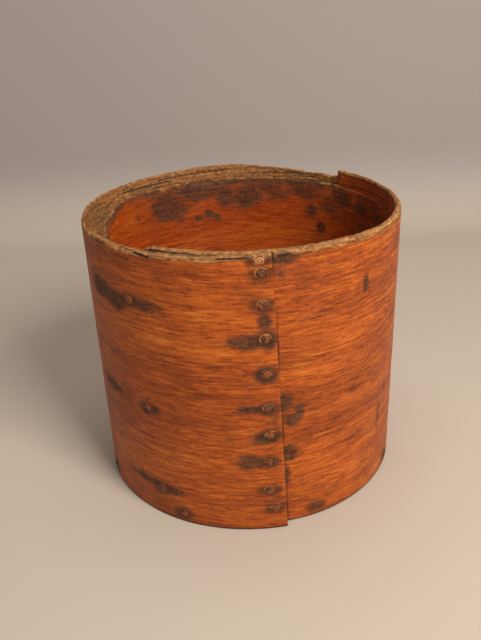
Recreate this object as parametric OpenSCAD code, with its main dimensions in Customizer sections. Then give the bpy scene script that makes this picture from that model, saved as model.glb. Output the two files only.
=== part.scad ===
// Bentwood measure: one thin board bent round a disc, lapped and nailed.
// The front is -Y, +X is to the right and Z is up. Azimuths are in degrees
// from the front, and grow towards the right hand side.

/* [Side] */
// Radius of the outer face at the lap
outer_r = 99; // [60:0.5:200]
// Height of the tallest stretch of the rim
side_h = 176; // [120:1:300]
// Thickness of the bent sheet
ply_t = 4.2; // [3:0.1:6]
// Slit left between the two plies of the lap
lap_gap = 0.2; // [0.1:0.05:0.5]
// Azimuth of the outer end of the sheet, half way up
seam_at = 9.5; // [0:0.5:20]
// Lean of the outer end, towards the right at the foot
seam_lean = 2.1; // [0:0.1:5]
// Azimuth of the inner end of the sheet, half way up
inner_end_at = -45; // [-60:1:-42]
// Lean of the inner end
inner_lean = 4.4; // [0:0.1:6]
// Length of the bevel planed on the inner end
bevel_l = 8; // [4:0.5:12]
// Thickness left at the bevelled end
bevel_t = 1.5; // [0.5:0.1:3]

/* [Rim] */
// Distance from the tallest rim down to the ledge inside the rear wall
ledge_drop = 13; // [8:1:20]
// Depth of wood missing from the inner face above the ledge
ledge_depth = 1.6; // [0.5:0.1:2.5]

/* [Bottom] */
// Thickness of the bottom board
board_t = 9; // [6:0.5:14]
// Height of the board's underside above the foot
board_recess = 2; // [1:0.5:4]
// Slack between the board's edge and the sheet
board_gap = 0.1; // [0.05:0.05:0.3]

/* [Nails] */
// Radius of a nail's head
head_r = 2.7; // [2:0.1:3]
// Height of the head above the wood
head_h = 1.1; // [0.8:0.1:1.6]
// Radius of a nail's shank
shank_r = 1.1; // [0.8:0.1:1.3]
// Length of the point turned over on the inner face
clinch_l = 7; // [5:0.5:9]
// Length of the nails driven into the board's edge
board_nail_l = 24; // [18:1:30]

/* [Hidden] */
$fn = 96;

// The spiral is made of half turns. Each has its centre and its radius drawn
// in by half the pitch, so that the third runs just inside the first.
pitch = ply_t + lap_gap;
draw_in = pitch / 2;
// Middle of the slit between the plies
slit_r = outer_r - ply_t - lap_gap / 2;
half_turn = 180;
full_turn = 360;

lap_span = seam_at - inner_end_at;
// Spare length, in degrees, from which the slanted ends are cut
overrun = 8;

// Wear of the rim. Distances along the sheet are in degrees from its outer
// end. The sheet runs from the lap to the left, round the back and on under
// its own end. Each stretch is [middle, [[distance, drop below the tallest
// rim], ...]]. Stretches overlap, and the lower one counts. The third is where
// a piece broke out, as far as 235.
rim_wear = [[38, [[-overrun, 2.8], [45, 2.5], [84, 1.9], [92, 1.7]]],
            [132, [[76, 1.7], [84, 1.9], [116, 2], [150, 1.6], [182, 0.4], [188, 0]]],
            [235, [[176, -0.2], [182, 0.4], [204, 2.6], [216, 4.2], [235, 4.6]]],
            [290, [[232, 0.4], [262, 1.8], [318, 2], [345, -0.5]]]];
// Where the rim of the inner end broke away: run and drop of the slant
corner_run = 23;
corner_drop = 16;
corner_at = -33;
// Missing wood inside the rim, as [from, to, depth below the tallest rim]
// along the sheet
bare_patches = [[76, 117, ledge_drop + 21], [117, 156, ledge_drop + 6],
                [156, 236, ledge_drop]];

// Nails as [azimuth, share of the tallest height]
lap_nail_rows = [[4, 0.974], [4.3, 0.942], [4.6, 0.843], [5.3, 0.731],
                 [5.5, 0.611], [5.5, 0.489], [5.9, 0.389], [5.6, 0.278],
                 [5.1, 0.162]];
end_nail_rows = [[-40.3, 0.82], [-37.5, 0.437], [-34.6, 0.112]];
board_top = board_recess + board_t;
lap_nail_spots = [for (n = lap_nail_rows) [n[0], n[1] * side_h],
                  [7.2, board_top + 4]];
end_nail_spots = [for (n = end_nail_rows) [n[0], n[1] * side_h]];
board_nail_z = board_recess + board_t / 2;
board_nails = 8;
first_board_nail = 23;
last_board_nail = full_turn - 26;
board_nail_step = (last_board_nail - first_board_nail) / (board_nails - 1);
board_nail_spots = [for (i = [0 : board_nails - 1])
    [first_board_nail + i * board_nail_step, board_nail_z]];
// Below this height a point is turned upwards, clear of the board
turn_up_below = 30;

// Nail details
head_edge = 0.35;
head_flat_r = 1;
point_r = 0.3;
point_l = 5;
hole_slack = 0.05;
hole_r = shank_r + hole_slack;

clear = 5;
wood = [0.66, 0.31, 0.13];
pale_wood = [0.60, 0.40, 0.22];
iron = [0.20, 0.16, 0.14];

function toward(az) = [sin(az), -cos(az), 0];
function arc_centre(half) = half % 2 == 1 ? draw_in * toward(seam_at - half_turn) : [0, 0, 0];
function arc_r(half) = outer_r - half * draw_in;
function along(az) = (seam_at - az + full_turn) % full_turn;
function half_of(az) = floor(along(az) / half_turn);

// The origin is under the middle of the whole measure, on the surface it
// stands on, so the spiral's own centre is a little off it.
right_reach = arc_centre(1)[0] + arc_r(1);
back_reach = arc_centre(1)[1] + arc_r(1);
front_reach = max([for (n = lap_nail_spots) (outer_r + head_h) * cos(n[0])]);
spiral_centre = [(outer_r - right_reach) / 2, (front_reach - back_reach) / 2, 0];

// A stretch of one half turn, seen from above, between two depths below its
// outer face. The ends are in degrees from the start of that half turn.
module arc_strip(half, from, to, depth_out, depth_in) {
    corners = 6;
    translate([half % 2 == 1 ? -draw_in : 0, 0])
        intersection() {
            difference() {
                circle(r = arc_r(half) - depth_out);
                if (depth_in < arc_r(half))
                    circle(r = arc_r(half) - depth_in);
            }
            polygon([[0, 0], for (i = [0 : corners])
                let (turn = -half * half_turn - from - (to - from) * i / corners)
                    2 * outer_r * [cos(turn), sin(turn)]]);
        }
}

// A stretch of the sheet, between two distances from its outer end
module strip(from, to, depth_out, depth_in) {
    rotate(seam_at - 90)
        for (half = [0 : 2]) {
            start = half == 0 ? from : max(from, half * half_turn);
            end = half == 2 ? to : min(to, (half + 1) * half_turn);
            if (end > start)
                arc_strip(half, start - half * half_turn, end - half * half_turn,
                          depth_out, depth_in);
        }
}

// What is worn off the rim along one stretch, seen square to its middle. The
// cylinder keeps the wear of the outer ply off the inner one.
module worn_off(stretch) {
    middle = stretch[0];
    half = floor(middle / half_turn);
    heights = [for (p = stretch[1])
        [arc_r(half) * sin(middle - p[0]), side_h - p[1]]];
    last = len(heights) - 1;
    difference() {
        translate(arc_centre(half))
            rotate([0, 0, seam_at - middle - 90])
                rotate([90, 0, 90])
                    linear_extrude(2 * outer_r)
                        polygon(concat(heights, [[heights[last][0], side_h + clear],
                                                 [heights[0][0], side_h + clear]]));
        if (half == 0)
            cylinder(r = slit_r, h = side_h + 2 * clear);
    }
}

// Places its children on the outer face at an azimuth, with x pointing out
module on_face(az, z) {
    translate(arc_centre(half_of(az)))
        rotate([0, 0, az - 90])
            translate([arc_r(half_of(az)), 0, z])
                children();
}

// Everything to the right of the outer end, outside the lap's slit
module past_outer_end() {
    difference() {
        on_face(seam_at, side_h / 2)
            rotate([seam_lean, 0, 0])
                translate([-ply_t - clear, 0, -side_h])
                    cube([ply_t + 2 * clear, outer_r / 4, side_h * 2]);
        translate([0, 0, -side_h])
            cylinder(r = slit_r, h = 3 * side_h);
    }
}

// Everything past the inner end, its planed bevel and its broken top corner.
// The cylinder keeps the cut off the outer ply.
module past_inner_end() {
    depth = ply_t + clear;
    slant = atan((ply_t - bevel_t) / bevel_l);
    intersection() {
        translate([0, 0, -clear])
            cylinder(r = slit_r, h = side_h + 2 * clear);
        union() {
            rotate([0, 0, inner_end_at - 90])
                translate([slit_r, 0, side_h / 2])
                    rotate([-inner_lean, 0, 0]) {
                        translate([-depth, -outer_r / 4, -side_h])
                            cube([depth + clear, outer_r / 4, side_h * 2]);
                        translate([-bevel_t, 0, -side_h])
                            rotate([0, 0, slant])
                                translate([-2 * clear, -clear, 0])
                                    cube([2 * clear, bevel_l + 2 * clear, side_h * 2]);
                    }
            rotate([0, 0, corner_at - 90])
                translate([slit_r - depth, 0, side_h])
                    rotate([atan(corner_drop / corner_run), 0, 0])
                        translate([0, -3 * corner_run, 0])
                            cube([depth + clear, 3 * corner_run, 2 * corner_drop]);
        }
    }
}

module nail_hole(spot, length) {
    on_face(spot[0], spot[1])
        rotate([0, -90, 0])
            translate([0, 0, -clear])
                cylinder(r = hole_r, h = length + clear);
}

module side_hoop() {
    color(wood)
        translate(spiral_centre)
            difference() {
                linear_extrude(side_h)
                    strip(-overrun, full_turn + lap_span + overrun, 0, ply_t);
                for (stretch = rim_wear) worn_off(stretch);
                past_outer_end();
                past_inner_end();
                for (p = bare_patches)
                    translate([0, 0, side_h - p[2]])
                        linear_extrude(side_h)
                            strip(p[0], p[1], ply_t - ledge_depth, ply_t + clear);
                for (spot = lap_nail_spots) nail_hole(spot, pitch + ply_t + 1);
                for (spot = end_nail_spots) nail_hole(spot, pitch + ply_t + 1);
                for (spot = board_nail_spots) nail_hole(spot, pitch + ply_t + 1);
            }
}

// The board fills the sheet's inside, so its edge has the same step at the
// inner end that the sheet has.
module bottom_board() {
    edge = ply_t + board_gap;
    color(pale_wood)
        translate(spiral_centre)
            difference() {
                translate([0, 0, board_recess])
                    linear_extrude(board_t)
                        strip(lap_span, full_turn + lap_span, edge, outer_r);
                for (spot = board_nail_spots)
                    on_face(spot[0], spot[1])
                        rotate([0, -90, 0])
                            shank(board_nail_l, hole_slack);
            }
}

// A straight shank along z from the underside of the head to its point
module shank(length, slack) {
    cylinder(r = shank_r + slack, h = length - point_l + slack);
    translate([0, 0, length - point_l + slack])
        cylinder(r1 = shank_r + slack, r2 = point_r + slack, h = point_l);
}

module head() {
    rotate([0, 90, 0])
        rotate_extrude()
            polygon([[0, 0], [head_r, 0], [head_r, head_edge],
                     [head_r * 0.8, head_h * 0.8], [head_flat_r, head_h], [0, head_h]]);
}

// A nail through both plies, its point turned over on the inner face
module clinched_nail(spot) {
    grip = pitch + ply_t;
    stand_off = shank_r + hole_slack;
    lean = atan((shank_r - point_r) / clinch_l);
    way = spot[1] < turn_up_below ? 1 : -1;
    color(iron)
        translate(spiral_centre)
            on_face(spot[0], spot[1]) {
                head();
                rotate([0, -90, 0])
                    cylinder(r = shank_r, h = grip + stand_off);
                translate([-grip - stand_off, 0, 0]) {
                    sphere(r = shank_r);
                    rotate([0, way > 0 ? lean : 180 - lean, 0])
                        cylinder(r1 = shank_r, r2 = point_r, h = clinch_l);
                }
            }
}

module lap_nail(i) clinched_nail(lap_nail_spots[i - 1]);

module end_nail(i) clinched_nail(end_nail_spots[i - 1]);

// A nail driven through the sheet into the edge of the board
module board_nail(i) {
    spot = board_nail_spots[i - 1];
    color(iron)
        translate(spiral_centre)
            on_face(spot[0], spot[1]) {
                head();
                rotate([0, -90, 0])
                    shank(board_nail_l, 0);
            }
}

side_hoop();
bottom_board();
for (i = [1 : len(lap_nail_spots)])
    lap_nail(i);
for (i = [1 : len(end_nail_spots)])
    end_nail(i);
for (i = [1 : board_nails])
    board_nail(i);
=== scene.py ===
import math

import bmesh
import bpy
import numpy as np
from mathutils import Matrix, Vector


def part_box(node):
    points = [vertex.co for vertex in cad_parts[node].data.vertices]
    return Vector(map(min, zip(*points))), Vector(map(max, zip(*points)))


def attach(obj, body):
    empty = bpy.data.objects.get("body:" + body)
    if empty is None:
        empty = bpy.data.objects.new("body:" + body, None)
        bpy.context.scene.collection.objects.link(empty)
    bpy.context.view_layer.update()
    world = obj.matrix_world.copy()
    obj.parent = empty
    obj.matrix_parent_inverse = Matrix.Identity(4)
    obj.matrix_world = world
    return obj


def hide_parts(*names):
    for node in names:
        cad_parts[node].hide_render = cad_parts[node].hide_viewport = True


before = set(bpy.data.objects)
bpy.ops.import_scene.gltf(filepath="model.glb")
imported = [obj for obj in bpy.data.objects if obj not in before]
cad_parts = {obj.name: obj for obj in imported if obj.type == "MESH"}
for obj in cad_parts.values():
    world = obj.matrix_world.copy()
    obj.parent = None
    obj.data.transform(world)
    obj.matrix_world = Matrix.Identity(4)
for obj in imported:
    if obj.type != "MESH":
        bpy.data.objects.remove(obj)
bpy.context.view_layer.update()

# The side: one thin board of ash, split along the grain, steamed and bent
# round once and a bit more, its outer end nailed over its inner end. Old
# red-brown stain covers it, worn off the rim and flaked away inside the rear.

mm = 0.001
side_low, side_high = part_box("side_hoop")
ply = 4.2 * mm
slit = 0.2 * mm
draw_in = (ply + slit) / 2
outer_radius = 99 * mm
tall = side_high.z
seam_azimuth = math.radians(9.5)
seam_lean = math.radians(2.1)
end_lean = math.radians(4.4)
end_at = 414.5
bevel_length = 8 * mm
bevel_left = 1.5 * mm
spiral_x = side_low.x + outer_radius
spiral_y = side_high.y - outer_radius + draw_in * (1 - math.cos(seam_azimuth))

# Lengths along the sheet are measured where it is 97 mm from the centre. One
# degree of the bend is then this long.
bend_radius = 97 * mm
degree = math.radians(bend_radius)

# Wear of the rim, as [degrees along the sheet from its outer end, drop in mm
# below the tallest rim]. A piece broke out of the rear as far as 235.
rim_drop = [[-8, 0.2], [12, 0.3], [20, 0.9], [45, 1.8], [84, 1.9], [116, 1.6], [150, 1.2],
            [176, 0.1], [184, 0.1], [204, 2.4], [216, 4.0], [235, 4.6], [235.3, 0.2], [262, 1.4],
            [318, 1.5], [342, 0.1], [405, 0.1], [420, 17.5]]
# Height of the ledge inside the rear, under which the inner face is whole,
# and how deep the wood above it is missing, both in mm
ledge_height = [[70, 150], [76, 142], [116.5, 144], [118, 156], [125, 161.5], [134, 164.6],
                [150, 164.3], [190, 164.9], [236, 164], [272, 162.4]]
ledge_missing = [[72, 0], [76, 1.6], [235, 1.6], [237, 0.45], [262, 0.3], [275, 0]]


def relief(u, v, seed):
    """Smooth random relief from -1 to 1 over u and v, the same for the same seed."""
    size = 64
    bumps = np.random.default_rng(seed).uniform(-1, 1, (size, size))
    left, low = np.floor(u).astype(int), np.floor(v).astype(int)
    across, up = u - left, v - low
    across, up = across ** 2 * (3 - 2 * across), up ** 2 * (3 - 2 * up)
    left, low, right, high = left % size, low % size, (left + 1) % size, (low + 1) % size
    bottom = bumps[left, low] * (1 - across) + bumps[right, low] * across
    top = bumps[left, high] * (1 - across) + bumps[right, high] * across
    return bottom * (1 - up) + top * up


def along_table(table, at):
    """The value of a [place, value] table at each place."""
    return np.interp(at, [row[0] for row in table], [row[1] for row in table])


def ease(value, start, end):
    """Rises smoothly from 0 at start to 1 at end."""
    share = np.clip((value - start) / (end - start), 0, 1)
    return share * share * (3 - 2 * share)


def sheet_columns():
    """Degrees along the sheet, closer together at its ends and where it broke."""
    columns = [0.0, 0.12, 0.35]
    while columns[-1] < end_at - 0.5:
        here = columns[-1]
        close = here < 7 or 230 < here < 240 or here > 398 or 72 < here < 78 or 114 < here < 120
        columns.append(here + (0.45 if close else 1.2))
    return np.array(columns[:-1] + [end_at - 0.35, end_at - 0.12, end_at])


def steps(start, end, gap):
    """Evenly spaced values from start to just before end, about gap apart."""
    return np.linspace(start, end, max(2, int(round(abs(end - start) / gap))), endpoint=False)


def flat_sheet():
    """The sheet before it was bent, in degrees along, mm deep and mm high, as
    arrays with a column for each place along it and a row round its section."""
    columns = sheet_columns()
    top = tall / mm - along_table(rim_drop, columns)
    chips = 0.28 * (relief(columns / 1.7, 0 * columns, 3) + 1)
    chips = chips + 0.16 * (relief(columns / 0.6, 0 * columns, 4) + 1)
    broken = ease(columns, 212, 220) * (1 - ease(columns, 235, 235.3)) + ease(columns, 402, 404)
    top = top - chips * (0.8 + 1.2 * broken)
    face_deep = ply / mm + 0 * columns
    to_end = (end_at - columns) * degree / mm
    face_deep = face_deep - (ply - bevel_left) / mm * np.clip(1 - to_end * mm / bevel_length, 0, 1)
    missing = along_table(ledge_missing, columns)
    missing = missing * (1 + 0.15 * relief(columns / 5, 0 * columns, 6))
    ledge = along_table(ledge_height, columns) + 0.5 * relief(columns / 2.5, 0 * columns, 5)
    ledge = np.minimum(ledge, top - 4)

    lap = 1 - ease(columns, 50, 58)
    outer_bevel = (1.5 + 0.9 * lap) * (1 + 0.35 * relief(columns / 6, 0 * columns, 7))
    inner_bevel = 0.9 * (1 + 0.4 * relief(columns / 4, 0 * columns, 8))
    foot = 0.5

    heights, depths = [], []

    def row(height, depth):
        heights.append(height + 0 * columns)
        depths.append(depth + 0 * columns)

    shoulder = top - outer_bevel
    nominal = 174.0
    for level in np.concatenate([steps(0, 148, 2.2), steps(148, 166, 1.2), steps(166, nominal, 0.6)]):
        row(foot + (shoulder - foot) * level / nominal, 0)
    across_outer, across_inner = 0.52, 0.8
    for share in np.linspace(0, 1, 11):
        falls = outer_bevel * np.clip(1 - share / across_outer, 0, 1) ** 2
        falls = falls + inner_bevel * np.clip((share - across_inner) / (1 - across_inner), 0, 1) ** 2
        row(top - falls, (face_deep - missing) * share)
    under_rim = top - inner_bevel
    groove_top = ledge + 1.3
    for share in steps(0, 1, 1 / 18)[1:]:
        row(under_rim + (groove_top - under_rim) * share, face_deep - missing)
    row(groove_top, face_deep - missing)
    row(ledge + 0.7, face_deep - missing * 1.25)
    row(ledge + 0.2, face_deep - missing * 1.05)
    row(ledge, face_deep - 0.25 * np.minimum(missing, 1))
    row(ledge - 0.5, face_deep)
    for level in np.concatenate([steps(0.02, 0.1, 0.01), steps(0.1, 1, 0.019)])[1:]:
        row(ledge - 0.5 + (foot - ledge + 0.5) * level, face_deep)
    row(foot, face_deep)
    row(0.12, face_deep - 0.25)
    row(0, face_deep - 0.9)
    row(0, face_deep * 0.5)
    row(0, 0.9)
    row(0.12, 0.25)

    high, deep = np.array(heights).T, np.array(depths).T
    along = columns[:, None] + 0 * high

    # Broad hollows of an old split surface, only ever cut into the sheet
    outside = 1 - ease(deep, 0, 2.1)
    inside = 1 - outside
    hollows = 0.13 * (relief(along / 9, high / 13, 11) + 1) + 0.04 * (relief(along / 5, high / 1.9, 12) + 1)
    upper = (high > ledge[:, None] + 0.5) * (missing[:, None] > 1)
    torn = 0.25 * (relief(along / 3.2, high / 1.1, 13) + 1) + 0.2 * (relief(along / 1.3, high / 3.5, 14) + 1)
    deep = deep + outside * hollows - inside * (hollows + upper * torn)
    worn_foot = 0.18 * (relief(columns / 7, 0 * columns, 15) + 1)[:, None] * (high < 1)
    high = high + worn_foot * (1 - high)

    # Rounded arrises of both sawn ends, then their lean
    to_edge = np.minimum(columns, end_at - columns)[:, None] * degree / mm
    rounding = 0.45 * (1 - np.sqrt(np.clip(1 - np.clip(1 - to_edge / 0.6, 0, 1) ** 2, 0, 1)))
    middle = deep[:, :1] * 0 + face_deep[:, None] / 2
    deep = middle + (deep - middle) * (1 - 2 * rounding / face_deep[:, None])
    high = high + rounding * (1 - 2 * high / (tall / mm))
    above_middle = high - tall / mm / 2
    outer_shear = above_middle * math.tan(seam_lean) * mm / degree * (1 - ease(along, 0, 24))
    inner_shear = above_middle * math.tan(end_lean) * mm / degree * ease(along, end_at - 26, end_at)
    return along + outer_shear - inner_shear, deep, high


def closed_strip(name, along, deep, high):
    """The flat sheet as a mesh: x along it, y into its thickness, z up."""
    columns, rows = along.shape
    points = np.stack([along * degree, deep * mm, high * mm], -1).reshape(-1, 3)
    index = np.arange(columns * rows).reshape(columns, rows)
    after = np.roll(index, -1, axis=1)
    quads = np.stack([index[:-1], index[1:], after[1:], after[:-1]], -1).reshape(-1, 4)
    faces = quads.tolist() + [index[0].tolist()[::-1], index[-1].tolist()]
    mesh = bpy.data.meshes.new(name)
    mesh.from_pydata(points.tolist(), [], faces)
    return mesh


# Dark marks on the outer face, where damp iron or soot stained it, and one of painted
# shade: azimuth in degrees and height in mm, half length and half height in mm, and strength
outer_stains_and_shade = [
    [0, 152, 8, 8, 0.5], [5, 138, 4, 6.5, 0.85], [-1, 127, 8.5, 4, 1.1], [6, 127, 4, 6, 0.9],
    [4.6, 107, 5.5, 5.5, 0.85], [-1, 85.5, 7.5, 2.7, 0.95], [5, 85, 5.5, 4.5, 0.7], [8, 80, 2.5, 14, 0.5],
    [11, 85, 6.5, 8.5, 0.78], [16.5, 79, 3, 5, 0.9], [14, 73.5, 5, 3.6, 1.0],
    [4, 66, 8.5, 5.2, 0.85], [-1, 50, 8, 4.6, 0.95], [1.5, 47.8, 1.5, 1.4, 1.5], [5.5, 50, 5, 5.5, 0.6],
    [11.8, 50.5, 6.5, 5.5, 1.05], [16, 48, 6, 1.5, 0.7], [11.6, 36, 2.2, 9, 0.9], [7, 15, 6, 4, 0.35],
    [0, 30.5, 5.5, 1.8, 0.5], [11.5, 171, 7.5, 3.6, 0.95], [10.8, 163, 5, 7, 0.5],
    [0, 163, 9, 7, 0.32], [-57, 144, 11, 6, 1.0], [-48, 141, 8, 5, 1.1], [-33.5, 143.5, 10, 3.6, 0.85],
    # The first mark on the next line, at azimuth -72, is painted shade darkening the upper left of the outer
    # face.
    [-72, 158, 10, 9, 0.45], [-40, 23, 19, 2.8, 0.85], [-43, 24, 6, 4.5, 0.6], [-33, 21.5, 6, 3.2, 0.6],
    [-58, 79, 12, 3.8, 0.9], [-48, 76, 7, 2.4, 0.5], [-38.3, 74.2, 3, 2, 0.85], [-28.5, 21.5, 6, 3.4, 0.85],
    [-33.5, 78, 3.2, 2, 0.95], [-27, 82, 2.6, 1.8, 0.7], [-25.4, 68.3, 2.4, 1.3, 0.7],
    [-57, 43.4, 3.5, 3.5, 0.5], [-25, 110, 5, 0.8, 0.5], [-25, 104.5, 3.2, 1.3, 0.6],
    [-6.4, 26, 2, 2.4, 0.35], [-26, 10.6, 3.4, 3.2, 0.5], [-16.2, 17, 3, 2.6, 0.42],
    [23, 6, 2.5, 2, 0.5], [17, 30.3, 3, 3.4, 0.55], [22.6, 11, 2, 2, 0.4], [43.2, 145.5, 2, 4.2, 1.25],
    [56, 52, 3.2, 15, 0.62], [60, 66, 3, 8, 0.5], [22, 135.2, 14, 1.5, 0.62], [38, 50, 18, 5, 0.32],
    [24, 118, 9, 3, 0.3], [36, 129, 12, 1.8, 0.4], [-12, 143, 8, 1, 0.3], [120, 120, 20, 5, 0.5],
    [165, 60, 16, 7, 0.5], [-120, 95, 18, 4, 0.55], [-160, 140, 12, 8, 0.5], [95, 30, 14, 5, 0.45]]
# The same on the inner face, two broad ones of them painted shade on the inside of the right wall
inner_stains_and_shade = [
    [-144, 151, 11, 9, 1.1], [-160, 158, 18, 6, 1.0], [-172, 154, 8, 10, 0.9], [178, 152, 12, 8, 1.0],
    [168, 158, 16, 5, 0.8], [150, 157, 16, 6, 0.75], [147, 142.5, 6, 6, 0.75], [131, 157, 10, 7, 0.9],
    [119, 150.5, 12, 8, 0.7], [142, 131.4, 3, 3, 1.6], [-159, 138, 3, 2, 1.2],
    # The last mark on the next line, at azimuth 105, is painted shade on the inside of the right wall.
    [-164, 140.5, 2.6, 3, 1.3], [-168, 137, 3.4, 1.8, 1.2], [105, 140, 18, 14, 0.6],
    [-130, 158, 10, 3, 0.5], [90, 60, 18, 12, 0.45], [-60, 80, 16, 10, 0.45], [10, 100, 14, 40, 0.5],
    # The second mark on the next line, at azimuth 100, is painted shade over the inside of the right wall.
    [-170, 40, 25, 10, 0.4], [100, 140, 50, 50, 0.62], [-150, 148, 12, 12, 0.7], [-178, 152, 10, 11, 0.7],
    [165, 152, 16, 9, 0.6], [135, 150, 18, 14, 0.6], [-128, 150, 6, 14, 0.45]]
# Cracks along the grain: azimuth in degrees from and to, height in mm, slant
# in mm over the whole crack, width in mm, and whether it is inside
cracks = [[-9.7, 1.6, 174, 0.5, 0.45, 0], [-37, -30, 172.2, -1.6, 0.8, 0], [-48, -38, 168.5, -0.8, 0.35, 0],
          [9.8, 13.6, 172.9, 0.3, 0.45, 0], [-4.8, -0.6, 85.8, 0.9, 0.3, 0], [62, 84, 171.5, 0.6, 0.35, 0],
          [150, 206, 2.2, 1.4, 0.4, 0], [-150, -118, 168.8, 0.7, 0.4, 1], [-175, -140, 171.2, -0.8, 0.35, 1],
          [141, 172, 169.5, -1.2, 0.4, 1], [96, 134, 166.5, -0.8, 0.35, 1], [200, 240, 120, 0.5, 0.25, 1]]
# Nails as azimuth in degrees, height in mm, and how worn and pale the crushed
# wood round the head is
lap_nails = [[4, 172.2, 1.0], [4.3, 165.6, 1.0], [4.6, 148, 0.6], [5.2, 128.4, 1.0], [5.4, 107.1, 0.35],
             [5.5, 85.6, 0.6], [6, 67.8, 0.7], [5.5, 49.5, 0.25], [5.2, 29.2, 0.5], [7.3, 15.6, 0.6]]
end_nails = [[-40.6, 143.8, 0.5], [-37.5, 76.9, 0.05], [-34.5, 20.4, 0.45]]
board_nail_count = 8
board_nails = [[23 + turn * 311 / (board_nail_count - 1), 6.5, 0.05] for turn in range(board_nail_count)]


def on_sheet(azimuth, inside):
    """Degrees along the sheet of an azimuth on its outermost or innermost turn."""
    along = (math.degrees(seam_azimuth) - azimuth) % 360
    return along + 360 if inside and along < end_at - 360 else along


def soft_marks(marks, along, high, inside):
    """How strongly each point is stained, without a sharp edge."""
    strength = 0 * high
    for azimuth, height, half_length, half_height, force in marks:
        aside = (along - on_sheet(azimuth, inside)) * degree / mm / half_length
        above = (high - height) / half_height
        strength = np.maximum(strength, force * np.exp(-(aside ** 2 + above ** 2) * 0.55))
    return strength


def side_marks(along, deep, high):
    """The sheet's stains, wear and dirt, painted shade, its cracks and the way to its nearest nail."""
    outside = 1 - ease(deep, 0.6, 1.3)
    inside = 1 - outside
    # Stains, with the few marks of painted shade from the two lists among them
    iron = outside * soft_marks(outer_stains_and_shade, along, high, False)
    iron = np.maximum(iron, inside * soft_marks(inner_stains_and_shade, along, high, True))
    columns = along[:, :1]
    top = tall / mm - along_table(rim_drop, columns)
    missing = along_table(ledge_missing, along)
    ledge = along_table(ledge_height, along)
    under_ledge = inside * ease(missing, 0.6, 1.4) * np.exp(-np.clip(ledge - high, 0, 60) / 12)
    iron = np.maximum(iron, under_ledge * 0.7 * (high < ledge + 0.3))
    below_top = top - high
    hand_side = 1.5 * ease(along, 285, 310)
    bare = outside * (1 - ease(below_top, 1.2, 4.6 + hand_side)) + inside * (1 - ease(below_top, 0.8, 3.6))
    flaked = inside * ease(missing, 0.8, 1.4) * ease(high, ledge - 0.8, ledge + 0.2)
    bare = np.clip(np.maximum(bare, 1.35 * flaked), 0, 1.35)
    # Darkening beside the end of the outer ply is partly dirt in the corner and partly painted shade beside
    # the step.
    lean = (high - tall / mm / 2) * math.tan(seam_lean)
    seam = np.exp(-np.abs((along - 360) * degree / mm + 0.8 - lean) / 1.3)
    # A dark band along the foot is painted shadow where the side stands on the floor.
    foot = 1.3 * np.exp(-high / 1.7)
    grime = np.maximum(outside * seam * (along > 300), foot)
    # Darkening of the gap where the inner ply stands above the worn outer ply is partly dirt and partly
    # painted shade.
    lap_gap_dirt_and_shade = ease(along, 7, 15) * (1 - ease(along, 48, 54)) * ease(deep, 2.7, 3.9)
    lap_gap_dirt_and_shade = np.maximum(lap_gap_dirt_and_shade, ease(along, 367, 375) * (1 - ease(deep, 0.1, 0.9)))
    grime = np.clip(np.maximum(grime, 1.2 * lap_gap_dirt_and_shade * (below_top < 3)), 0, 1.3)

    crack_gap, crack_force, crack_away = 0 * high + 9, 0 * high, 0 * high + 99
    for start, end, height, slant, width, within in cracks:
        first, last = sorted((on_sheet(end, within), on_sheet(start, within)))
        share = (along - first) / (last - first)
        gap = (high - height - slant * (0.5 - share)) / width
        ends = np.clip(4 * share, 0, 1) * np.clip(4 * (1 - share), 0, 1) * (inside if within else outside)
        away = np.abs(gap) + 60 * np.clip(np.abs(share - 0.5) - 0.5, 0, 9)
        nearer = away < crack_away
        crack_away = np.where(nearer, away, crack_away)
        crack_gap = np.where(nearer, gap, crack_gap)
        crack_force = np.where(nearer, ends * np.clip(6 - away, 0, 1), crack_force)

    nearest, second = np.full(high.shape, 99.0), np.full(high.shape, 99.0)
    aside, above, worn = 0 * high + 9, 0 * high + 9, 0 * high
    for azimuth, height, pale in lap_nails + end_nails + board_nails:
        to_side = (along - on_sheet(azimuth, False)) * degree / mm
        up = high - height
        apart = np.sqrt(to_side ** 2 + up ** 2)
        closer = apart < nearest
        second = np.where(closer, nearest, np.minimum(second, apart))
        nearest = np.where(closer, apart, nearest)
        aside, above = np.where(closer, to_side, aside), np.where(closer, up, above)
        worn = np.where(closer, pale, worn)
    near = outside * np.clip((second - nearest) / 1.5, 0, 1) * np.clip((9 - nearest) / 2, 0, 1)
    return iron, bare, grime, crack_gap, crack_force, aside, above, worn, near


def keep_on_points(mesh, name, kind, values):
    """Stores one value or vector for each point of a mesh under a name."""
    attribute = mesh.attributes.new(name, kind, "POINT")
    key = "vector" if kind == "FLOAT_VECTOR" else "value"
    attribute.data.foreach_set(key, np.ascontiguousarray(values, np.float32).ravel())


class Wire:
    """One output in a node tree. Arithmetic on wires adds Math nodes to the tree."""

    def __init__(self, plan, socket):
        self.plan = plan
        self.socket = socket

    def maths(self, operation, *values):
        return self.plan.add("ShaderNodeMath", {"operation": operation}, dict(enumerate(values)))

    def __add__(self, other):
        return self.maths("ADD", self, other)

    def __sub__(self, other):
        return self.maths("SUBTRACT", self, other)

    def __rsub__(self, other):
        return self.maths("SUBTRACT", other, self)

    def __mul__(self, other):
        return self.maths("MULTIPLY", self, other)

    def __truediv__(self, other):
        return self.maths("DIVIDE", self, other)

    def __pow__(self, other):
        return self.maths("POWER", self, other)

    def __abs__(self):
        return self.maths("ABSOLUTE", self)

    __radd__ = __add__
    __rmul__ = __mul__

    def eased(self, start, end):
        """Rises smoothly from 0 where the wire is start to 1 where it is end."""
        if start > end:
            return 1 - self.eased(end, start)
        return self.plan.add("ShaderNodeMapRange", {"interpolation_type": "SMOOTHSTEP"},
                             {"Value": self, "From Min": start, "From Max": end})


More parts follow.
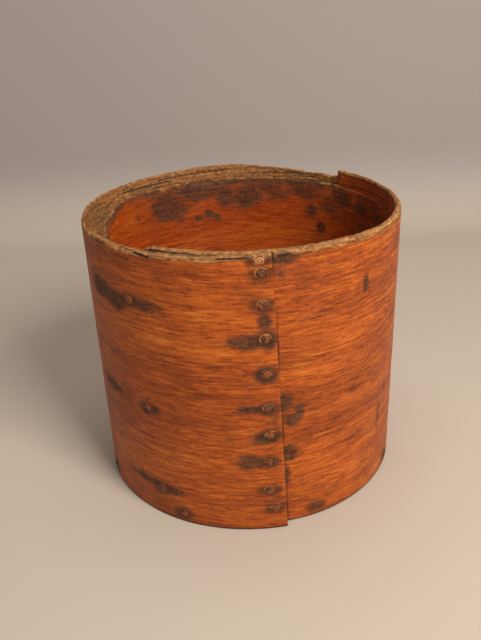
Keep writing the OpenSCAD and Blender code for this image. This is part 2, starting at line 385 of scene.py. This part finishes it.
class Plan:
    """A node tree that nodes are added to."""

    def __init__(self, tree):
        self.tree = tree

    def add(self, kind, settings, sockets, output=0):
        """Adds a node, sets it up, then gives its sockets their values or wires."""
        node = self.tree.nodes.new(kind)
        for name, value in settings.items():
            if name == "stops":
                ramp = node.color_ramp.elements
                while len(ramp) < len(value):
                    ramp.new(0.5)
                for element, (position, colour) in zip(ramp, value):
                    element.position, element.color = position, colour
            else:
                setattr(node, name, value)
        for name, value in sockets.items():
            if isinstance(value, Wire):
                self.tree.links.new(value.socket, node.inputs[name])
            else:
                node.inputs[name].default_value = value
        return Wire(self, node.outputs[output]) if node.outputs else node

    def stored(self, name, output=2):
        """What a mesh stores under a name: its number, or with output 1 its vector."""
        return self.add("ShaderNodeAttribute", {"attribute_name": name}, {}, output)

    def noise(self, place, stretch, detail=2.0, roughness=0.5):
        """Noise with this many swings per metre along each axis."""
        stretched = self.add("ShaderNodeVectorMath", {"operation": "MULTIPLY"}, {0: place, 1: stretch})
        return self.add("ShaderNodeTexNoise", {}, {"Vector": stretched, "Scale": 1.0,
                                                   "Detail": detail, "Roughness": roughness})

    def blend(self, share, below, above):
        """A colour that goes from below to above as share goes from 0 to 1."""
        return self.add("ShaderNodeMix", {"data_type": "RGBA", "clamp_factor": True},
                        {0: share, 6: below, 7: above}, output=2)

    def parts(self, vector):
        """The x, y and z of a vector."""
        return [self.add("ShaderNodeSeparateXYZ", {}, {0: vector}, axis) for axis in range(3)]


def paint(red, green, blue):
    """A colour on the usual 0 to 255 scale, as the linear values that nodes take."""
    shares = [channel / 255 for channel in (red, green, blue)]
    return tuple(s / 12.92 if s <= 0.04045 else ((s + 0.055) / 1.055) ** 2.4 for s in shares) + (1.0,)


def new_material(name):
    """An empty material, its plan and its main shader node."""
    material = bpy.data.materials.new(name)
    material.use_nodes = True
    shader = material.node_tree.nodes["Principled BSDF"]
    return material, Plan(material.node_tree), shader


def finish_material(plan, shader, colour, roughness, height):
    """Joins colour, roughness and a relief in mm to the shader."""
    normal = plan.add("ShaderNodeBump", {}, {"Strength": 1.0, "Distance": mm, "Height": height})
    plan.tree.links.new(colour.socket, shader.inputs["Base Color"])
    plan.tree.links.new(roughness.socket, shader.inputs["Roughness"])
    plan.tree.links.new(normal.socket, shader.inputs["Normal"])


def side_wood():
    """Red-brown stained ash, its grain running along the sheet, iron-stained round
    the nails, worn pale on the rim and weathered olive where it flaked away, with
    painted shade along the foot, at the lap and in a few broad patches, and a painted
    highlight on the worn wood round each nail head."""
    material, plan, shader = new_material("side_wood")
    place = plan.stored("sheet_place", 1)
    along, deep, high = plan.parts(place)
    iron, bare, grime = (plan.stored(name) for name in ("iron_stain", "bare_wood", "grime"))
    crack_gap, crack_force = plan.stored("crack_gap"), plan.stored("crack_force")
    aside, worn, above = plan.parts(plan.stored("from_nail", 1))

    bands = plan.noise(place, (6, 120, 70), 3)
    lines = plan.noise(place, (38, 500, 520), 4, 0.65)
    fibres = plan.noise(place, (120, 1400, 1300), 3, 0.65)
    clouds = plan.noise(place, (22, 40, 34), 4, 0.6)
    specks = plan.noise(place, (360, 520, 520), 3, 0.6)

    grain = bands * 0.25 + lines * 0.35 + fibres * 0.25 + specks * 0.15
    colour = plan.add("ShaderNodeValToRGB", {"stops": [
        (0.38, paint(96, 40, 10)), (0.46, paint(150, 66, 17)),
        (0.53, paint(184, 88, 24)), (0.63, paint(212, 120, 42))]}, {0: grain})
    inner_face = deep.eased(0.9 * mm, 1.6 * mm)
    colour = plan.blend(inner_face * 0.45, colour, paint(160, 58, 12))
    colour = plan.blend(clouds.eased(0.5, 0.7) * 0.5, colour, paint(116, 50, 15))
    streaks = lines.eased(0.60, 0.72) * clouds.eased(0.38, 0.55)
    colour = plan.blend(streaks * 0.4, colour, paint(222, 146, 78))
    pores = fibres.eased(0.44, 0.34)
    colour = plan.blend(pores * 0.5, colour, paint(84, 34, 10))

    patchy = lines * 0.35 + clouds * 0.35 + specks * 0.3
    worn_off = (bare + (patchy - 0.5) * 1.5).eased(0.3, 0.7)
    olive = plan.add("ShaderNodeValToRGB", {"stops": [
        (0.40, paint(84, 54, 28)), (0.46, paint(134, 88, 47)),
        (0.53, paint(174, 120, 68)), (0.62, paint(216, 164, 104))]},
        {0: lines * 0.4 + specks * 0.35 + clouds * 0.25})
    colour = plan.blend(worn_off * 0.92, colour, olive)
    hollow_wood = inner_face * (clouds * 0.4 + lines * 0.6).eased(0.5, 0.58)
    colour = plan.blend(worn_off * hollow_wood * 0.72, colour, paint(62, 42, 24))

    blotches = plan.noise(place, (80, 150, 260), 5, 0.72)
    # Stains darken the wood, and so does the painted shade carried with them.
    stained = (iron * 1.4 + (blotches - 0.5) * 1.7 + (lines - 0.5) * 1.0).eased(0.42, 1.05)
    stain = plan.blend((specks * 0.5 + lines * 0.5).eased(0.4, 0.6), paint(38, 25, 17), paint(88, 58, 36))
    colour = plan.blend(stained * 0.84, colour, stain)
    # Dirt, and painted shade along the foot, beside the end of the outer ply and in the gap between the
    # plies
    colour = plan.blend((grime + (blotches - 0.5) * 0.5).eased(0.35, 0.9) * 0.85, colour, paint(40, 25, 15))

    near = plan.stored("near_nail")
    apart = (aside * aside + above * above) ** 0.5
    from_nail = apart + (specks - 0.5) * 1.2
    wide_apart = ((aside * 0.6) ** 2 + above * above) ** 0.5 + (blotches - 0.5) * 5
    halo = wide_apart.eased(6.5, 2.4) * near
    colour = plan.blend(halo * 0.72, colour, paint(56, 35, 22))
    # A pale ring of worn wood round each nail head, made brighter on its upper side as a painted highlight
    lip = from_nail.eased(2.4, 2.8) * from_nail.eased(3.8, 3.0) * near
    lit_side = (above / 4 + aside / 9 + worn * 0.5).eased(0.1, 0.9)
    patchy_lip = (blotches * 0.5 + specks * 0.5).eased(0.42, 0.54)
    colour = plan.blend(lip * worn * lit_side * patchy_lip, colour, paint(204, 132, 70))

    split = crack_gap + (specks - 0.5) * 2.2
    crack = abs(split).eased(1.1, 0.4) * crack_force.eased(0.05, 0.5)
    colour = plan.blend(crack * 0.92, colour, paint(30, 19, 12))

    roughness = 0.5 + worn_off * 0.28 + stained * 0.12 + (lines - 0.5) * 0.4 + (clouds - 0.5) * 0.2
    height = (lines * 0.16 + fibres * 0.12 + bands * 0.1 + specks * 0.12
              + worn_off * (lines + specks) * 0.35 - crack * 0.5 - stained * 0.04
              + lip * worn * 0.25 - from_nail.eased(2.9, 2.3) * near * 0.25)
    finish_material(plan, shader, colour, roughness, height)
    shader.inputs["Specular IOR Level"].default_value = 0.3
    return material


def winding_tree():
    """Geometry Nodes that wind a flat sheet into a two-centre spiral: each half
    turn has its own centre, and a radius smaller by half the pitch."""
    tree = bpy.data.node_groups.new("wind_sheet", "GeometryNodeTree")
    tree.is_modifier = True
    tree.interface.new_socket("Sheet", in_out="INPUT", socket_type="NodeSocketGeometry")
    for name in ("Outer radius", "Bend radius", "Draw in", "Seam azimuth", "Centre X", "Centre Y"):
        tree.interface.new_socket(name, in_out="INPUT", socket_type="NodeSocketFloat")
    tree.interface.new_socket("Finish", in_out="INPUT", socket_type="NodeSocketMaterial")
    tree.interface.new_socket("Hoop", in_out="OUTPUT", socket_type="NodeSocketGeometry")
    plan = Plan(tree)
    inputs = tree.nodes.new("NodeGroupInput").outputs
    sheet = Wire(plan, inputs["Sheet"])
    radius, bend, draw, seam, centre_x, centre_y = (
        Wire(plan, inputs[name])
        for name in ("Outer radius", "Bend radius", "Draw in", "Seam azimuth", "Centre X", "Centre Y"))
    flat = plan.add("GeometryNodeInputPosition", {}, {})
    along, deep, high = plan.parts(flat)
    turned = along / bend
    half = (turned / math.pi).maths("FLOOR", turned / math.pi)
    half = half.maths("MINIMUM", half.maths("MAXIMUM", half, 0), 2)
    odd = half.maths("MODULO", half, 2)
    here = radius - half * draw - deep
    azimuth = seam - turned
    x = centre_x + here * azimuth.maths("SINE", azimuth) - odd * draw * seam.maths("SINE", seam)
    y = centre_y - here * azimuth.maths("COSINE", azimuth) + odd * draw * seam.maths("COSINE", seam)
    wound = plan.add("ShaderNodeCombineXYZ", {}, {0: x, 1: y, 2: high})
    marked = plan.add("GeometryNodeStoreNamedAttribute", {"data_type": "FLOAT_VECTOR", "domain": "POINT"},
                      {"Geometry": sheet, "Name": "sheet_place", "Value": flat})
    moved = plan.add("GeometryNodeSetPosition", {}, {"Geometry": marked, "Position": wound})
    real = plan.add("GeometryNodeRealizeInstances", {}, {"Geometry": moved})
    finished = plan.add("GeometryNodeSetMaterial", {},
                        {"Geometry": real, "Material": Wire(plan, inputs["Finish"])})
    output = tree.nodes.new("NodeGroupOutput")
    tree.links.new(finished.socket, output.inputs["Hoop"])
    return tree


def grow(name, mesh, tree, values):
    """Runs a node tree on a mesh and returns a plain object with the result."""
    source = bpy.data.objects.new(name + "_source", mesh)
    bpy.context.scene.collection.objects.link(source)
    modifier = source.modifiers.new(name, "NODES")
    modifier.node_group = tree
    for item in tree.interface.items_tree:
        if item.name in values:
            modifier[item.identifier] = values[item.name]
    evaluated = source.evaluated_get(bpy.context.evaluated_depsgraph_get())
    result = bpy.data.meshes.new_from_object(evaluated)
    bpy.data.objects.remove(source)
    result.name = name
    piece = bpy.data.objects.new(name, result)
    bpy.context.scene.collection.objects.link(piece)
    return piece


def smooth_outward(piece, sharp_angle):
    """Turns every face outwards and shades it smooth up to an angle in degrees."""
    work = bmesh.new()
    work.from_mesh(piece.data)
    bmesh.ops.recalc_face_normals(work, faces=work.faces)
    work.to_mesh(piece.data)
    work.free()
    piece.data.shade_smooth()
    piece.data.set_sharp_from_angle(angle=math.radians(sharp_angle))


side_material = side_wood()
along, deep, high = flat_sheet()
side_mesh = closed_strip("side", along, deep, high)
iron, bare, grime, crack_gap, crack_force, aside, above, worn, near = side_marks(along, deep, high)
for name, values in (("iron_stain", iron), ("bare_wood", bare), ("grime", grime), ("near_nail", near),
                     ("crack_gap", np.clip(crack_gap, -9, 9)), ("crack_force", crack_force)):
    keep_on_points(side_mesh, name, "FLOAT", values)
keep_on_points(side_mesh, "from_nail", "FLOAT_VECTOR", np.stack([aside, worn, above], -1))
side = grow("side", side_mesh, winding_tree(), {
    "Outer radius": outer_radius, "Bend radius": bend_radius, "Draw in": draw_in,
    "Seam azimuth": seam_azimuth, "Centre X": spiral_x, "Centre Y": spiral_y, "Finish": side_material})
smooth_outward(side, 50)
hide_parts("side_hoop")
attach(side, "root")

# The bottom board: one round pine board sprung into the foot of the side and
# nailed through it. Its grain runs from side to side, and it has dried and
# split from its edge.

board_low, board_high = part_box("bottom_board")
board_slack = 0.1 * mm


def board_edge(azimuth):
    """The board's edge at an azimuth in degrees, which follows the inside of the side."""
    along = (math.degrees(seam_azimuth) - azimuth) % 360
    under_lap = along < end_at - 360
    half = 2 if under_lap else (1 if along >= 180 else 0)
    radius = outer_radius - half * draw_in - ply - board_slack - 0.35 * mm
    if 0 <= along - (end_at - 360) < 5:
        radius -= 2 * draw_in * (1 - (along - end_at + 360) / 5)
    turn = math.radians(azimuth)
    odd = draw_in if half == 1 else 0
    return (spiral_x + radius * math.sin(turn) - odd * math.sin(seam_azimuth),
            spiral_y - radius * math.cos(turn) + odd * math.cos(seam_azimuth))


def board_mesh():
    """Rings from the middle of the top over the edge to the middle of the underside."""
    segments = 240
    edge = np.array([board_edge(turn * 360 / segments) for turn in range(segments)])
    middle = np.array([spiral_x, spiral_y])
    round_over = 0.8 * mm
    top_rings, under_rings = 34, 16
    shares = np.concatenate([np.linspace(0.02, 0.96, top_rings), [0.975, 0.985, 0.993, 0.998, 1, 1, 1,
                             0.998, 0.993, 0.98], np.linspace(0.95, 0.02, under_rings)])
    drops = np.concatenate([np.zeros(top_rings), round_over * np.array([0, 0.05, 0.2, 0.5]), [1 * mm]])
    rises = np.concatenate([[1 * mm], round_over * np.array([0.5, 0.2, 0]), np.zeros(under_rings)])
    top_z, low_z = board_high.z, board_low.z
    levels = np.concatenate([top_z - drops, [(top_z + low_z) / 2], low_z + rises])
    rings = []
    for share, level in zip(shares, levels):
        ring = middle + (edge - middle) * share
        x, y = ring[:, 0], ring[:, 1]
        rough = (relief(x / mm / 22, y / mm / 7, 31) + 1) * 0.12
        rough = rough + (relief(x / mm / 9, y / mm / 1.7, 32) + 1) * 0.05
        split = np.exp(-((y - 0.021 - 0.0012 * np.sin(x * 60)) / (0.45 * mm)) ** 2) * ease(x, -0.01, 0.05)
        hollow = (rough + 1.4 * split) * mm
        if level < (top_z + low_z) / 2:
            z = level + rough * mm
        elif level > top_z - 2 * mm:
            z = level - hollow
        else:
            z = level + 0 * x
        rings.append(np.stack([x, y, z], -1))
    points = np.concatenate(rings + [np.array([[*middle, top_z - 0.25 * mm], [*middle, low_z + 0.2 * mm]])])
    count = len(rings)
    faces = []
    for ring in range(count - 1):
        for turn in range(segments):
            after = (turn + 1) % segments
            faces.append([ring * segments + turn, ring * segments + after,
                          (ring + 1) * segments + after, (ring + 1) * segments + turn])
    for turn in range(segments):
        after = (turn + 1) % segments
        faces.append([count * segments, after, turn])
        faces.append([count * segments + 1, (count - 1) * segments + turn, (count - 1) * segments + after])
    mesh = bpy.data.meshes.new("bottom")
    mesh.from_pydata(points.tolist(), [], faces)
    return mesh


def board_wood():
    """Dry, darkened pine: wide growth rings cut nearly flat, darker towards the rim,
    and pale dust of grain in the pores."""
    material, plan, shader = new_material("board_wood")
    place = plan.add("ShaderNodeTexCoord", {}, {}, output=3)
    x, y, z = plan.parts(place)
    sway = plan.noise(place, (6, 14, 14), 2)
    heart_below, ring_width = 35 * mm, 4.2 * mm
    from_heart = ((y + (sway - 0.5) * 0.03) ** 2 + (z + heart_below) ** 2) ** 0.5
    swing = from_heart * (2 * math.pi / ring_width)
    rings = swing.maths("SINE", swing) * 0.5 + 0.5
    fibres = plan.noise(place, (40, 1300, 600), 2, 0.6)
    streaks = plan.noise(place, (12, 240, 120), 3)
    clouds = plan.noise(place, (20, 26, 30), 3)
    specks = plan.noise(place, (500, 500, 500), 2)
    grain = rings * 0.3 + streaks * 0.4 + fibres * 0.3
    colour = plan.add("ShaderNodeValToRGB", {"stops": [
        (0.25, paint(88, 56, 32)), (0.42, paint(130, 86, 50)),
        (0.58, paint(158, 110, 66)), (0.78, paint(184, 136, 88))]}, {0: grain})
    soiled = clouds.eased(0.45, 0.68)
    colour = plan.blend(soiled * 0.6, colour, paint(84, 56, 36))
    edge_x, edge_y = x - spiral_x, y - spiral_y
    # Darker towards the rim, where the board meets the side
    rim = ((edge_x ** 2 + edge_y ** 2) ** 0.5 + (streaks - 0.5) * 0.02).eased(0.078, 0.093)
    colour = plan.blend(rim * 0.6, colour, paint(54, 36, 24))
    colour = plan.blend(specks.eased(0.66, 0.72) * 0.5, colour, paint(205, 176, 128))
    colour = plan.blend(fibres.eased(0.36, 0.28) * 0.7, colour, paint(48, 32, 20))
    roughness = 0.72 + (streaks - 0.5) * 0.3 + soiled * 0.1
    height = rings * 0.12 + fibres * 0.12 + streaks * 0.15 + specks * 0.04
    finish_material(plan, shader, colour, roughness, height)
    shader.inputs["Specular IOR Level"].default_value = 0.3
    return material


bottom = bpy.data.objects.new("bottom", board_mesh())
bpy.context.scene.collection.objects.link(bottom)
bottom.data.materials.append(board_wood())
smooth_outward(bottom, 60)
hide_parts("bottom_board")
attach(bottom, "root")

# The nails: hand-cut iron with hammered heads. Those of the lap go through both
# plies and are turned over inside. Those of the foot run straight into the
# edge of the bottom board.

head_radius = 2.5 * mm
head_rise = 0.6 * mm
shank_radius = 1.05 * mm
grip = 2 * ply + slit
turned_length = 7 * mm
board_nail_length = 23.5 * mm


def tube_rings(path, radii, sides):
    """Points of a tube along a path in the x-z plane, ring by ring."""
    path = np.array(path)
    ways = np.gradient(path, axis=0)
    ways /= np.linalg.norm(ways, axis=1)[:, None]
    rings = []
    for centre, way, radius in zip(path, ways, radii):
        flat_side = np.array([way[2], 0, -way[0]])
        for side_number in range(sides):
            turn = 2 * math.pi * side_number / sides
            outward = math.cos(turn) * flat_side + math.sin(turn) * np.array([0, 1, 0])
            rings.append(centre + radius * outward)
    return rings


def nail_mesh(name, path, radii, seed):
    """A nail with x out of the wood: a hammered head over a shank along the path."""
    sides = 20
    profile = [(0.12, 1), (0.3, 0.98), (0.48, 0.93), (0.64, 0.84), (0.78, 0.7), (0.9, 0.46),
               (0.98, 0.16), (1, -0.15), (0.9, -0.36), (0.5, -0.38)]
    random = np.random.default_rng(seed)
    dents = random.uniform(-1, 1, (len(profile), sides))
    dents = (dents + np.roll(dents, 1, axis=1) + np.roll(dents, 2, axis=1)) / 3
    points, worn = [], []
    for ring, (share, rise) in enumerate(profile):
        for turn in range(sides):
            angle = 2 * math.pi * turn / sides
            dent = dents[ring, turn]
            radius = head_radius * share * (1 + 0.04 * dent + 0.05 * math.sin(2 * angle + 0.6))
            points.append([head_rise * rise + 0.06 * mm * dent * (rise > 0),
                           radius * math.cos(angle), radius * math.sin(angle)])
            # Random wear, plus a painted highlight that makes one side of the head paler
            worn.append(0.5 + 0.3 * dent + 0.3 * math.sin(angle - 0.5) * share)
    shank = tube_rings(path, radii, sides)
    points += shank
    worn += [0.2] * len(shank)
    rows = len(points) // sides
    faces = [[row * sides + turn, row * sides + (turn + 1) % sides,
              (row + 1) * sides + (turn + 1) % sides, (row + 1) * sides + turn]
             for row in range(rows - 1) for turn in range(sides)]
    faces += [list(range(sides)), list(range((rows - 1) * sides, rows * sides))]
    mesh = bpy.data.meshes.new(name)
    mesh.from_pydata(points, [], faces)
    keep_on_points(mesh, "worn_iron", "FLOAT", worn)
    return mesh


def turned_nail():
    """A nail whose point comes out inside, bends over and is hammered into the wood."""
    path, radii = [[-0.35 * mm, 0, 0]], [shank_radius]
    path.append([-grip, 0, 0])
    radii.append(shank_radius)
    bend = 1.3 * mm
    for step in range(1, 7):
        turn = math.pi / 2 * step / 6
        path.append([-grip - bend * math.sin(turn) * 0.8, 0, -bend * (1 - math.cos(turn))])
        radii.append(shank_radius * (1 - 0.03 * step))
    for share in (0.35, 0.6, 0.82, 0.95, 1):
        path.append([-grip - bend * 0.8 + 1.1 * mm * share ** 2, 0, -bend - (turned_length - bend) * share])
        radii.append(shank_radius * (0.8 - 0.62 * share))
    return nail_mesh("turned_nail", path, radii, 21)


def straight_nail():
    """A nail driven home into the board."""
    path = [[-0.35 * mm - board_nail_length * share, 0, 0] for share in (0, 0.4, 0.78, 0.9, 1)]
    radii = [shank_radius, shank_radius, shank_radius, 0.65 * mm, 0.25 * mm]
    return nail_mesh("straight_nail", path, radii, 22)


def nailing_tree():
    """Geometry Nodes that put a nail on each point, facing out, each one turned and
    sized a little differently."""
    tree = bpy.data.node_groups.new("drive_nails", "GeometryNodeTree")
    tree.is_modifier = True
    tree.interface.new_socket("Places", in_out="INPUT", socket_type="NodeSocketGeometry")
    tree.interface.new_socket("Nail", in_out="INPUT", socket_type="NodeSocketObject")
    for name in ("Smallest", "Largest", "Dents"):
        tree.interface.new_socket(name, in_out="INPUT", socket_type="NodeSocketFloat")
    tree.interface.new_socket("Seed", in_out="INPUT", socket_type="NodeSocketInt")
    tree.interface.new_socket("Finish", in_out="INPUT", socket_type="NodeSocketMaterial")
    tree.interface.new_socket("Nails", in_out="OUTPUT", socket_type="NodeSocketGeometry")
    plan = Plan(tree)
    inputs = tree.nodes.new("NodeGroupInput").outputs
    given = {name: Wire(plan, inputs[name])
             for name in ("Places", "Nail", "Smallest", "Largest", "Dents", "Seed", "Finish")}
    nail = plan.add("GeometryNodeObjectInfo", {}, {"Object": given["Nail"]}, output=4)
    facing = plan.add("GeometryNodeInputNamedAttribute", {"data_type": "FLOAT_VECTOR"}, {"Name": "facing"})
    roll = plan.add("GeometryNodeInputNamedAttribute", {"data_type": "FLOAT"}, {"Name": "roll"})
    out = plan.add("FunctionNodeAlignRotationToVector", {"axis": "X"}, {"Vector": facing})
    spin = plan.add("FunctionNodeAxisAngleToRotation", {}, {"Axis": (1, 0, 0), "Angle": roll})
    turned = plan.add("FunctionNodeRotateRotation", {"rotation_space": "LOCAL"}, {0: out, 1: spin})
    size = plan.add("FunctionNodeRandomValue", {"data_type": "FLOAT"},
                    {2: given["Smallest"], 3: given["Largest"], "Seed": given["Seed"]}, output=1)
    shape = plan.add("ShaderNodeCombineXYZ", {}, {0: 1.0, 1: size, 2: size})
    driven = plan.add("GeometryNodeInstanceOnPoints", {}, {"Points": given["Places"], "Instance": nail,
                                                           "Rotation": turned, "Scale": shape})
    real = plan.add("GeometryNodeRealizeInstances", {}, {"Geometry": driven})
    spot = plan.add("GeometryNodeInputPosition", {}, {})
    blows = plan.add("ShaderNodeTexNoise", {}, {"Vector": spot, "Scale": 420.0, "Detail": 1.0}, output=1)
    level = plan.add("ShaderNodeVectorMath", {"operation": "SUBTRACT"}, {0: blows, 1: (0.5, 0.5, 0.5)})
    knock = plan.add("ShaderNodeVectorMath", {"operation": "SCALE"}, {0: level, "Scale": given["Dents"]})
    beaten = plan.add("GeometryNodeSetPosition", {}, {"Geometry": real, "Offset": knock})
    joined = plan.add("GeometryNodeRealizeInstances", {}, {"Geometry": beaten})
    finished = plan.add("GeometryNodeSetMaterial", {}, {"Geometry": joined, "Material": given["Finish"]})
    output = tree.nodes.new("NodeGroupOutput")
    tree.links.new(finished.socket, output.inputs["Nails"])
    return tree


def nail_iron():
    """Old wrought iron: nearly black scale, brown rust in the hollows, and dull
    bare metal where hands have rubbed the heads, with a painted highlight that makes
    one side of each head paler."""
    material, plan, shader = new_material("nail_iron")
    place = plan.add("ShaderNodeTexCoord", {}, {}, output=3)
    worn = plan.stored("worn_iron")
    scale = plan.noise(place, (900, 900, 900), 3, 0.6)
    patches = plan.noise(place, (260, 260, 260), 2)
    colour = plan.blend(scale.eased(0.4, 0.6), paint(56, 31, 18), paint(112, 58, 28))
    colour = plan.blend(patches.eased(0.42, 0.58) * 0.8, colour, paint(142, 68, 27))
    rim_nail = plan.parts(place)[2].eased(0.1685, 0.1705)
    # Rubbed bare metal, together with the painted highlight on one side of each head
    rubbed = (worn + rim_nail * 0.6 + (scale - 0.5) * 1.2).eased(0.7, 1.1)
    colour = plan.blend(rubbed * 0.75, colour, paint(198, 132, 74))
    roughness = 0.74 - rubbed * 0.12 + (scale - 0.5) * 0.3
    height = scale * 0.24 + patches * 0.2
    finish_material(plan, shader, colour, roughness, height)
    metal = 0.05 + rubbed * 0.15
    plan.tree.links.new(metal.socket, shader.inputs["Metallic"])
    return material


def nail_places(name, spots):
    """A mesh of loose points on the outer face, each with the way it faces."""
    points, facing, roll = [], [], []
    for azimuth, height, _ in spots:
        half = 1 if on_sheet(azimuth, False) >= 180 else 0
        turn = math.radians(azimuth)
        out = (math.sin(turn), -math.cos(turn), 0)
        radius = outer_radius - half * draw_in - 0.15 * mm
        shift = half * draw_in
        points.append((spiral_x + radius * out[0] - shift * math.sin(seam_azimuth),
                       spiral_y + radius * out[1] + shift * math.cos(seam_azimuth), height * mm))
        facing.append(out)
        roll.append(math.pi if height < 30 else 0)
    mesh = bpy.data.meshes.new(name)
    mesh.from_pydata(points, [], [])
    keep_on_points(mesh, "facing", "FLOAT_VECTOR", facing)
    keep_on_points(mesh, "roll", "FLOAT", roll)
    return mesh


iron_material = nail_iron()
nailing = nailing_tree()
for name, spots, pattern, seed in (("lap_nails", lap_nails, turned_nail, 4),
                                   ("end_nails", end_nails, turned_nail, 9),
                                   ("board_nails", board_nails, straight_nail, 2)):
    sample = bpy.data.objects.new(name + "_sample", pattern())
    nails = grow(name, nail_places(name, spots), nailing, {
        "Nail": sample, "Smallest": 0.9, "Largest": 1.06, "Dents": 1.1 * mm, "Seed": seed,
        "Finish": iron_material})
    bpy.data.objects.remove(sample)
    smooth_outward(nails, 50)
    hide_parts(*[f"{name[:-1]}_{number + 1}" for number in range(len(spots))])
    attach(nails, "root")

# The surroundings: a pale floor that curves up into a plain backdrop, a broad
# soft lamp at the front right, weaker ones at the left and above, and the
# camera where the photograph was taken from.

floor_front, floor_back = -1.6, 0.42
sweep_radius = 0.10
backdrop_height = 1.6
half_width = 2.2
sweep = [(floor_front, 0.0), (floor_back, 0.0)]
sweep += [(floor_back + sweep_radius * math.sin(math.radians(turn)),
           sweep_radius * (1 - math.cos(math.radians(turn)))) for turn in range(6, 91, 6)]
sweep.append((floor_back + sweep_radius, backdrop_height))
stage_mesh = bpy.data.meshes.new("stage")
stage_mesh.from_pydata([(x, y, z) for y, z in sweep for x in (-half_width, half_width)], [],
                       [[2 * i, 2 * i + 1, 2 * i + 3, 2 * i + 2] for i in range(len(sweep) - 1)])
stage_mesh.shade_smooth()
stage = bpy.data.objects.new("stage", stage_mesh)
bpy.context.scene.collection.objects.link(stage)
stage_material, stage_plan, stage_shader = new_material("pale_paper")
stage_place = stage_plan.add("ShaderNodeTexCoord", {}, {}, output=3)
_, _, stage_height = stage_plan.parts(stage_place)
stage_colour = stage_plan.blend(stage_height.eased(0, 0.09), paint(196, 182, 166), paint(170, 160, 156))
stage_plan.tree.links.new(stage_colour.socket, stage_shader.inputs["Base Color"])
stage_shader.inputs["Roughness"].default_value = 0.9
stage_mesh.materials.append(stage_material)

aim = (0, 0, 0.085)


def lamp(name, place, size, power, tint):
    """A square soft lamp that faces the measure."""
    light = bpy.data.lights.new(name, "AREA")
    light.shape, light.size, light.energy, light.color = "SQUARE", size, power, tint
    holder = bpy.data.objects.new(name, light)
    holder.location = place
    way = holder.location.copy()
    for axis in range(3):
        way[axis] -= aim[axis]
    holder.rotation_euler = way.to_track_quat("Z", "Y").to_euler()
    bpy.context.scene.collection.objects.link(holder)


lamp("key", (0.54, -0.74, 0.87), 0.45, 15.6, (1, 0.95, 0.88))
lamp("fill", (-0.9, -0.7, 0.5), 0.8, 0.8, (0.95, 0.97, 1))
lamp("top", (-0.05, 0.1, 1.1), 0.6, 2.6, (1, 0.98, 0.95))
world = bpy.data.worlds.new("soft_room")
world.use_nodes = True
world.node_tree.nodes["Background"].inputs["Color"].default_value = (1.0, 0.97, 0.94, 1)
world.node_tree.nodes["Background"].inputs["Strength"].default_value = 0.16
bpy.context.scene.world = world

# The camera's place comes from the outline in the photograph, 640 pixels high
frame_height = 640
focal_pixels = 710.8
distance = 0.4826
elevation = math.radians(26.97)
side_turn = math.radians(-0.14)
roll = math.radians(-2.18)
target = (1.98 * mm, 0.2 * mm, 78.4 * mm)
off_centre = (9.17, 20.49)
camera_data = bpy.data.cameras.new("camera")
camera_data.sensor_fit = "VERTICAL"
camera_data.sensor_height = 36
camera_data.lens = 36 * focal_pixels / frame_height
camera_data.shift_x = -off_centre[0] / frame_height
camera_data.shift_y = off_centre[1] / frame_height
camera_data.clip_start = 0.01
camera = bpy.data.objects.new("camera", camera_data)
away = (math.sin(side_turn) * math.cos(elevation), -math.cos(side_turn) * math.cos(elevation),
        math.sin(elevation))
camera.location = [target[axis] + distance * away[axis] for axis in range(3)]
camera.rotation_mode = "XYZ"
camera.rotation_euler = (math.pi / 2 - elevation, 0, side_turn)
camera.rotation_euler.rotate_axis("Z", roll)
bpy.context.scene.collection.objects.link(camera)
bpy.context.scene.camera = camera
bpy.context.scene.view_settings.view_transform = "Standard"
